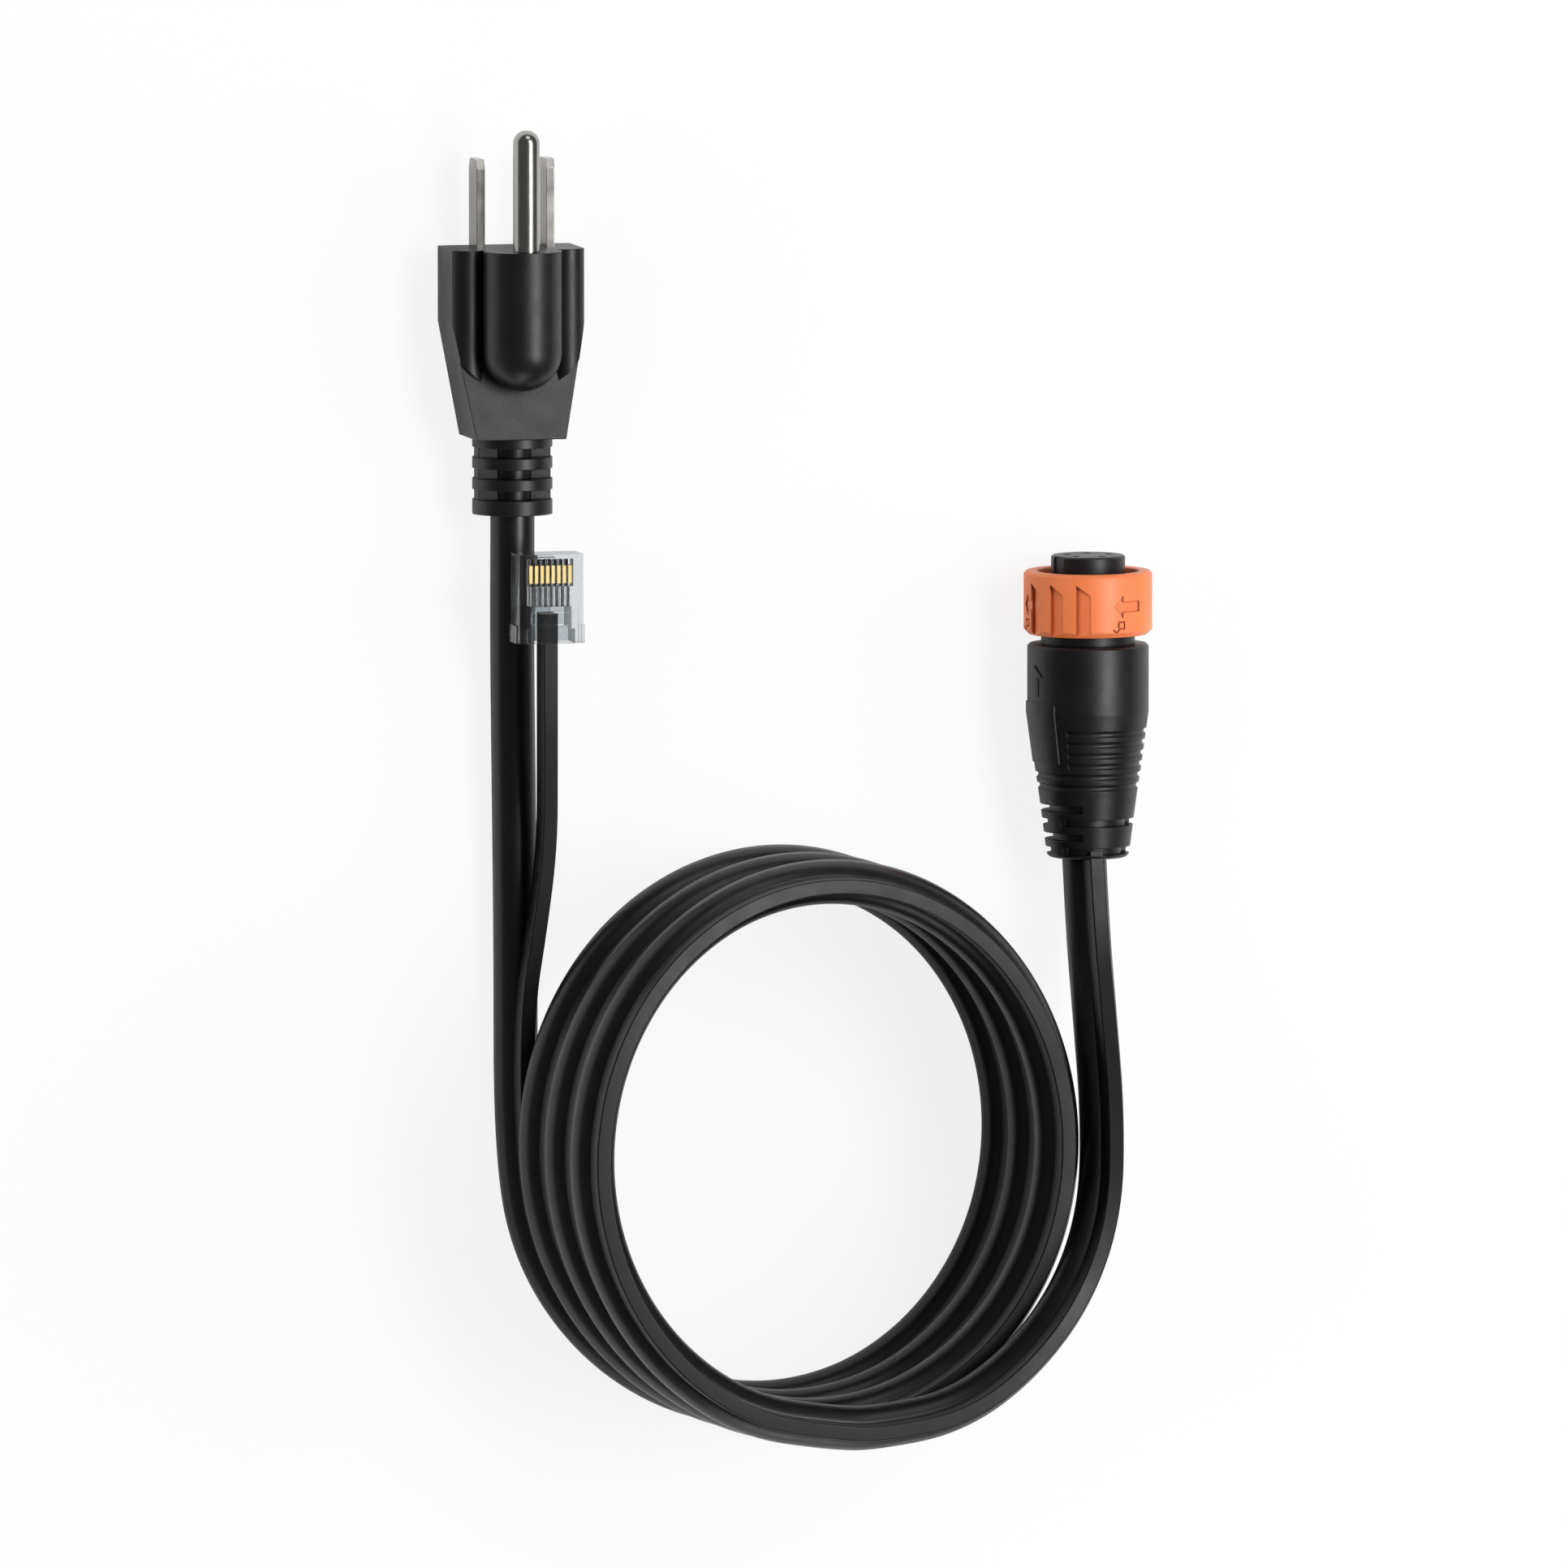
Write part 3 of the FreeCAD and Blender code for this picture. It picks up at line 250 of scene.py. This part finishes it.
def clear(name, colour, painted_edge_shade_colour, roughness, edge):
    """Clear moulded plastic with faint flow waves, darkened by painted shade where a face turns away from
    the view.
    """
    material, tree, shader, place = new_material(name, colour, roughness, Transmission_Weight=1.0, IOR=1.58)
    softened = add_node(tree, "ShaderNodeBevel", {"Radius": edge * MM}, samples=EDGE_SAMPLES)
    facing = {"Blend": PAINTED_EDGE_SHADE_BLEND, "Normal": softened.outputs[0]}
    turned_away = add_node(tree, "ShaderNodeLayerWeight", facing)
    # Painted shade: the tone darkens toward the edge colour as a face turns away from the view.
    tint = add_node(tree, "ShaderNodeMix", {
        "Factor": turned_away.outputs["Facing"],
        6: linear(colour),
        7: linear(painted_edge_shade_colour),
    }, data_type="RGBA")
    gloss = uneven(tree, place, CLEAR_GLOSS_PATCH, roughness, roughness + CLEAR_GLOSS_DRIFT)
    flow = add_node(tree, "ShaderNodeTexNoise", {
        "Vector": place,
        "Scale": 1 / (FLOW_PATCH * MM),
        "Detail": 1.0,
    })
    relief = add_node(tree, "ShaderNodeBump", {
        "Height": flow.outputs[0],
        "Strength": FAINT_RELIEF,
        "Distance": FLOW_DEPTH * MM,
        "Normal": softened.outputs[0],
    })
    return surface(material, tree, shader, tint, gloss, relief)


# Extruded plasticised PVC: deep black with a wet-looking line of light along it.
JACKET = moulded("extruded black PVC", "070708", "0C0C0D", 0.34, 0.7, 0.1)
# The flat lead's PVC comes off a flat die, so it looks a little duller than the round cord.
LEAD_JACKET = moulded("flat extruded black PVC", "060607", "0A0A0B", 0.4, 0.7, 0.1, Specular_IOR_Level=0.36)
# Overmoulded PVC: satin black with broad soft highlights and edges that the mould has rounded.
MOULDING = moulded("overmoulded black PVC", "080809", "0E0E0F", 0.4, 0.38, 0.14, edge=0.25)
# Injection-moulded nylon: a shade greyer and duller than the PVC next to it.
HARD_BLACK = moulded("moulded black nylon", "0B0B0C", "111112", 0.42, 0.38, 0.14, edge=0.2)
# Injection-moulded nylon in a bright orange, satin, with painted shade darkening its notches.
ORANGE = moulded("moulded orange nylon", "EA763E", "EF824B", 0.42, 0.42, 0.14, edge=0.3, painted_recess_shade="A94A22")
# Moulded nitrile rubber: matt, with a slightly dusty grain.
SEAL = moulded("moulded black nitrile rubber", "0D0D0D", "141414", 0.62, 0.55, 0.25, edge=0.2)
# Unpigmented moulded nylon: warm off-white.
BRIDGE = moulded("moulded natural nylon", "D9D4C4", "E4E0D2", 0.5, 0.45, 0.15, edge=0.2)
# Extruded PVC core insulation, smooth and satin in the mains colours.
BLACK_CORE = moulded("extruded black core PVC", "101010", "171717", 0.36, 0.6, 0.1)
WHITE_CORE = moulded("extruded white core PVC", "E2E1DC", "EDECE8", 0.36, 0.6, 0.1)
GREEN_CORE = moulded("extruded green core PVC", "1F7A34", "2A8C41", 0.36, 0.6, 0.1)
# Extruded polyethylene on the thin data wires, grey and slightly waxy.
DATA_CORE = moulded("extruded grey polyethylene", "8E8A86", "A8A5A1", 0.36, 0.6, 0.1)
# Nickel-plated drawn brass: cool bright metal with hair lines along the blades.
NICKEL = drawn_metal("nickel-plated brass", "A2A09C", "AFADA9", 0.2, 0.2)
# Gold-flashed phosphor bronze: pale, warm and half matt.
GOLD = drawn_metal("gold-flashed bronze", "CBB074", "D8C086", 0.45, 0.05)
# Moulded clear polycarbonate: water-clear faces and painted dark grey shade along the edges, where faces
# turn away.
CLEAR = clear("moulded clear polycarbonate", "E2E6E8", "22282C", 0.02, 0.2)

FINISHES = {
    MOULDING: ("plug_body", "plug_strain_relief", "connector_boot"),
    HARD_BLACK: ("connector_shell", "socket_insert"),
    ORANGE: ("locking_ring",),
    SEAL: ("face_seal",),
    NICKEL: ("line_blade", "neutral_blade", "ground_pin"),
    BRIDGE: ("blade_bridge",),
    BLACK_CORE: ("line_core",),
    WHITE_CORE: ("neutral_core",),
    GREEN_CORE: ("ground_core",),
    CLEAR: ("data_plug_housing", "data_plug_latch", "data_plug_strain_bar"),
    DATA_CORE: ("data_plug_wires",),
    GOLD: ("data_plug_contacts", "socket_contacts"),
}


def finish(name, material):
    """Give a CAD node its finish."""
    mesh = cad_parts[name].data
    mesh.materials.clear()
    mesh.materials.append(material)


def ring_of_turns(rise):
    """The coil's control points from 9 o'clock down and round.

    They are set out a little, because the spline cuts inside its points.
    """
    pull = 1 / math.cos(math.pi / POINTS_PER_TURN)
    points = []
    for step in range(1, int(COIL_TURNS * POINTS_PER_TURN)):
        turns = step / POINTS_PER_TURN
        share = turns % 1
        angle = math.pi + 2 * math.pi * share
        climb = 0 if share < 0.5 else (1 - math.cos(2 * math.pi * (share - 0.5))) / 2
        points.append(Vector((
            COIL_LEFT + COIL_HALF_WIDTH + COIL_LEAN * turns + COIL_HALF_WIDTH * pull * math.cos(angle),
            COIL_MIDDLE + COIL_HALF_LENGTH * pull * math.sin(angle),
            COIL_FLOOR + COIL_PITCH * (int(turns) + climb) + rise,
        )))
    return points


COIL_START = Vector((COIL_LEFT, COIL_MIDDLE, COIL_FLOOR))
COIL_END = Vector((COIL_LEFT + COIL_HALF_WIDTH + COIL_LEAN * COIL_TURNS, COIL_MIDDLE - COIL_HALF_LENGTH,
                   COIL_FLOOR + 3 * COIL_PITCH))
CORD_FROM_PLUG = [
    Vector((-52.0, -2.9, 7.4)),
    Vector((-52.0, -9.5, 7.4)),
    Vector((-51.7, -22.0, 5.7)),
    Vector((-51.3, -37.0, 4.4)),
    Vector((-51.0, -56.0, COIL_FLOOR)),
    Vector((COIL_LEFT, -82.0, COIL_FLOOR)),
    COIL_START,
]
CORD_TO_CONNECTOR = [
    COIL_END,
    Vector((5.5, COIL_END.y, COIL_END.z)),
    Vector((19.5, -161.6, COIL_END.z)),
    Vector((31.4, -153.6, 46.0)),
    Vector((41.4, -141.6, 44.8)),
    Vector((48.2, -127.2, 38.8)),
    Vector((50.8, -110.9, 29.7)),
    Vector((52.0, -94.3, 18.9)),
    Vector((52.5, -79.3, 11.3)),
    Vector((52.5, -65.4, 8.5)),
]
LEAD_FROM_PLUG = [
    Vector((-47.5, -20.1, 15.6)),
    Vector((-47.5, -34.3, 15.6)),
    Vector((-47.1, -48.0, 13.8)),
    Vector((-46.7, -62.0, 11.7)),
    Vector((-48.3, -76.0, COIL_FLOOR + LEAD_RISE)),
    Vector((COIL_LEFT, -91.0, COIL_FLOOR + LEAD_RISE)),
    COIL_START + UP * LEAD_RISE,
]


def lifted(points):
    """The lead's points on top of the cord's: straight above it, and square to it where it slopes."""
    out = [point + UP * LEAD_RISE for point in points]
    for before, point, after in zip(points, out[1:], points[2:]):
        slope = (after - before).normalized().z
        point.z += LEAD_RISE * (1 / math.sqrt(1 - slope ** 2) - 1)
    return out


def spline_curve(name, points):
    """A smooth open curve with these points, in millimetres, as its control points."""
    data = bpy.data.curves.new(name, "CURVE")
    data.dimensions = "3D"
    spline = data.splines.new("NURBS")
    spline.points.add(len(points) - 1)
    for target, point in zip(spline.points, points):
        target.co = (*(point * MM), 1.0)
    spline.order_u = 3
    spline.use_endpoint_u = True
    data.resolution_u = CURVE_STEPS
    data.twist_mode = "Z_UP"
    curve = bpy.data.objects.new(name, data)
    bpy.context.scene.collection.objects.link(curve)
    return curve


def line_points(curve):
    """The points that a curve with no bevel runs through, in the row frame."""
    mesh = bpy.data.meshes.new_from_object(curve)
    points = [vertex.co.copy() for vertex in mesh.vertices]
    bpy.data.meshes.remove(mesh)
    return points


def path_length(points):
    return sum((after - before).length for before, after in zip(points, points[1:]))


def lead_profile():
    """The flat lead's outline, standing on edge: a rectangle with rounded corners."""
    reach_x = LEAD_THICKNESS / 2 - LEAD_CORNER
    reach_y = LEAD_WIDTH / 2 - LEAD_CORNER
    outline = []
    for corner, (across, along) in enumerate(((1, 1), (-1, 1), (-1, -1), (1, -1))):
        for step in range(CORNER_STEPS + 1):
            angle = math.pi / 2 * (corner + step / CORNER_STEPS)
            outline.append((
                across * reach_x + LEAD_CORNER * math.cos(angle),
                along * reach_y + LEAD_CORNER * math.sin(angle),
            ))
    data = bpy.data.curves.new("lead outline", "CURVE")
    data.dimensions = "2D"
    spline = data.splines.new("POLY")
    spline.points.add(len(outline) - 1)
    for target, (across, along) in zip(spline.points, outline):
        target.co = (across * MM, along * MM, 0, 1)
    spline.use_cyclic_u = True
    return bpy.data.objects.new("lead outline", data)


def make_power_cord():
    """The round cord in one piece, from the strain relief through the coil to the round connector."""
    points = CORD_FROM_PLUG + ring_of_turns(0) + CORD_TO_CONNECTOR
    curve = spline_curve("power_cord", points)
    length = path_length(line_points(curve))
    curve.data.bevel_depth = CORD_RADIUS * MM
    curve.data.bevel_resolution = CORD_ROUNDNESS
    curve.data.use_fill_caps = True
    curve.data.materials.append(JACKET)
    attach(curve, "base")
    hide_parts("power_cord_plug_run", "power_cord_coil", "power_cord_connector_run")


def make_data_lead():
    """The flat lead in one piece, from the data plug onto the cord and with it to the round connector."""
    points = LEAD_FROM_PLUG + ring_of_turns(LEAD_RISE) + lifted(CORD_TO_CONNECTOR)
    curve = spline_curve("lead line", points)
    path = line_points(curve)
    profile = lead_profile()
    curve.data.bevel_mode = "OBJECT"
    curve.data.bevel_object = profile
    curve.data.use_fill_caps = True
    mesh = bpy.data.meshes.new_from_object(curve.evaluated_get(bpy.context.evaluated_depsgraph_get()))
    mesh.name = "data_lead"
    lead = bpy.data.objects.new("data_lead", mesh)
    bpy.context.scene.collection.objects.link(lead)
    bpy.data.objects.remove(curve)
    bpy.data.objects.remove(profile)
    for face in mesh.polygons:
        face.use_smooth = True
    mesh.materials.clear()
    mesh.materials.append(LEAD_JACKET)
    lead.modifiers.new("flat sides", "WEIGHTED_NORMAL")
    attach(lead, "base")
    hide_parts("data_lead_plug_run", "data_lead_coil", "data_lead_connector_run")


def make_camera():
    """A long lens at the photograph's angle."""
    away = VIEW_RIGHT.cross(VIEW_UP).normalized()
    turn = Matrix((VIEW_RIGHT, VIEW_UP, away)).transposed()
    data = bpy.data.cameras.new("camera")
    data.sensor_width = SENSOR_WIDTH
    data.lens = SENSOR_WIDTH * VIEW_DISTANCE / VIEW_WIDTH
    data.clip_end = VIEW_REACH
    camera = bpy.data.objects.new("camera", data)
    camera.matrix_world = Matrix.Translation(VIEW_CENTRE + away * VIEW_DISTANCE) @ turn.to_4x4()
    bpy.context.scene.collection.objects.link(camera)
    bpy.context.scene.camera = camera


def make_floor():
    """A plain pale floor that the camera sees as almost white and that keeps a faint shadow."""
    floor = bmesh.new()
    bmesh.ops.create_grid(floor, x_segments=1, y_segments=1, size=FLOOR_REACH)
    mesh = bpy.data.meshes.new("floor")
    floor.to_mesh(mesh)
    floor.free()
    piece = bpy.data.objects.new("floor", mesh)
    bpy.context.scene.collection.objects.link(piece)
    material = bpy.data.materials.new("white floor")
    material.use_nodes = True
    tree = material.node_tree
    paper = tree.nodes["Principled BSDF"]
    paper.inputs["Base Color"].default_value = linear("F4F4F4")
    paper.inputs["Roughness"].default_value = 0.9
    rays = add_node(tree, "ShaderNodeLightPath")
    glow = add_node(tree, "ShaderNodeEmission", {"Color": (1, 1, 1, 1), "Strength": 1.0})
    seen = add_node(tree, "ShaderNodeMath", {
        0: rays.outputs["Is Camera Ray"],
        1: rays.outputs["Is Transmission Ray"],
    }, operation="MAXIMUM")
    direct = add_node(tree, "ShaderNodeMath", {0: seen.outputs[0], 1: FLOOR_SEEN}, operation="MULTIPLY")
    mirrored = add_node(tree, "ShaderNodeMath", {
        0: rays.outputs["Is Glossy Ray"],
        1: FLOOR_MIRRORED,
    }, operation="MULTIPLY")
    share = add_node(tree, "ShaderNodeMath", {
        0: direct.outputs[0],
        1: mirrored.outputs[0],
    }, operation="MAXIMUM")
    blend = add_node(tree, "ShaderNodeMixShader", {
        0: share.outputs[0],
        1: paper.outputs[0],
        2: glow.outputs[0],
    })
    tree.links.new(blend.outputs[0], tree.nodes["Material Output"].inputs["Surface"])
    mesh.materials.append(material)


def make_lamp(name, place, size, energy, shines):
    """A soft lamp aimed at the lead; one that doesn't shine fills without a highlight."""
    data = bpy.data.lights.new(name, "AREA")
    data.shape = "RECTANGLE"
    data.size, data.size_y = size
    data.energy = energy
    lamp = bpy.data.objects.new(name, data)
    lamp.location = place
    way = LAMP_AIM - Vector(place)
    lamp.rotation_euler = way.to_track_quat("-Z", "Y").to_euler()
    lamp.visible_glossy = shines
    bpy.context.scene.collection.objects.link(lamp)


def make_light():
    """One long lamp overhead, soft ones all round and a world that is dim except to the camera."""
    for lamp in LAMPS:
        make_lamp(*lamp)
    world = bpy.data.worlds.new("studio")
    world.use_nodes = True
    tree = world.node_tree
    rays = add_node(tree, "ShaderNodeLightPath")
    strength = add_node(tree, "ShaderNodeMapRange", {
        "Value": rays.outputs["Is Camera Ray"],
        "To Min": ROOM_LIGHT,
        "To Max": 1.0,
    })
    sky = tree.nodes["Background"]
    sky.inputs["Color"].default_value = (1, 1, 1, 1)
    tree.links.new(strength.outputs["Result"], sky.inputs["Strength"])
    bpy.context.scene.world = world


make_camera()
make_floor()
make_light()
make_power_cord()
make_data_lead()
for material, names in FINISHES.items():
    for name in names:
        finish(name, material)

bpy.context.scene.view_settings.view_transform = "Standard"
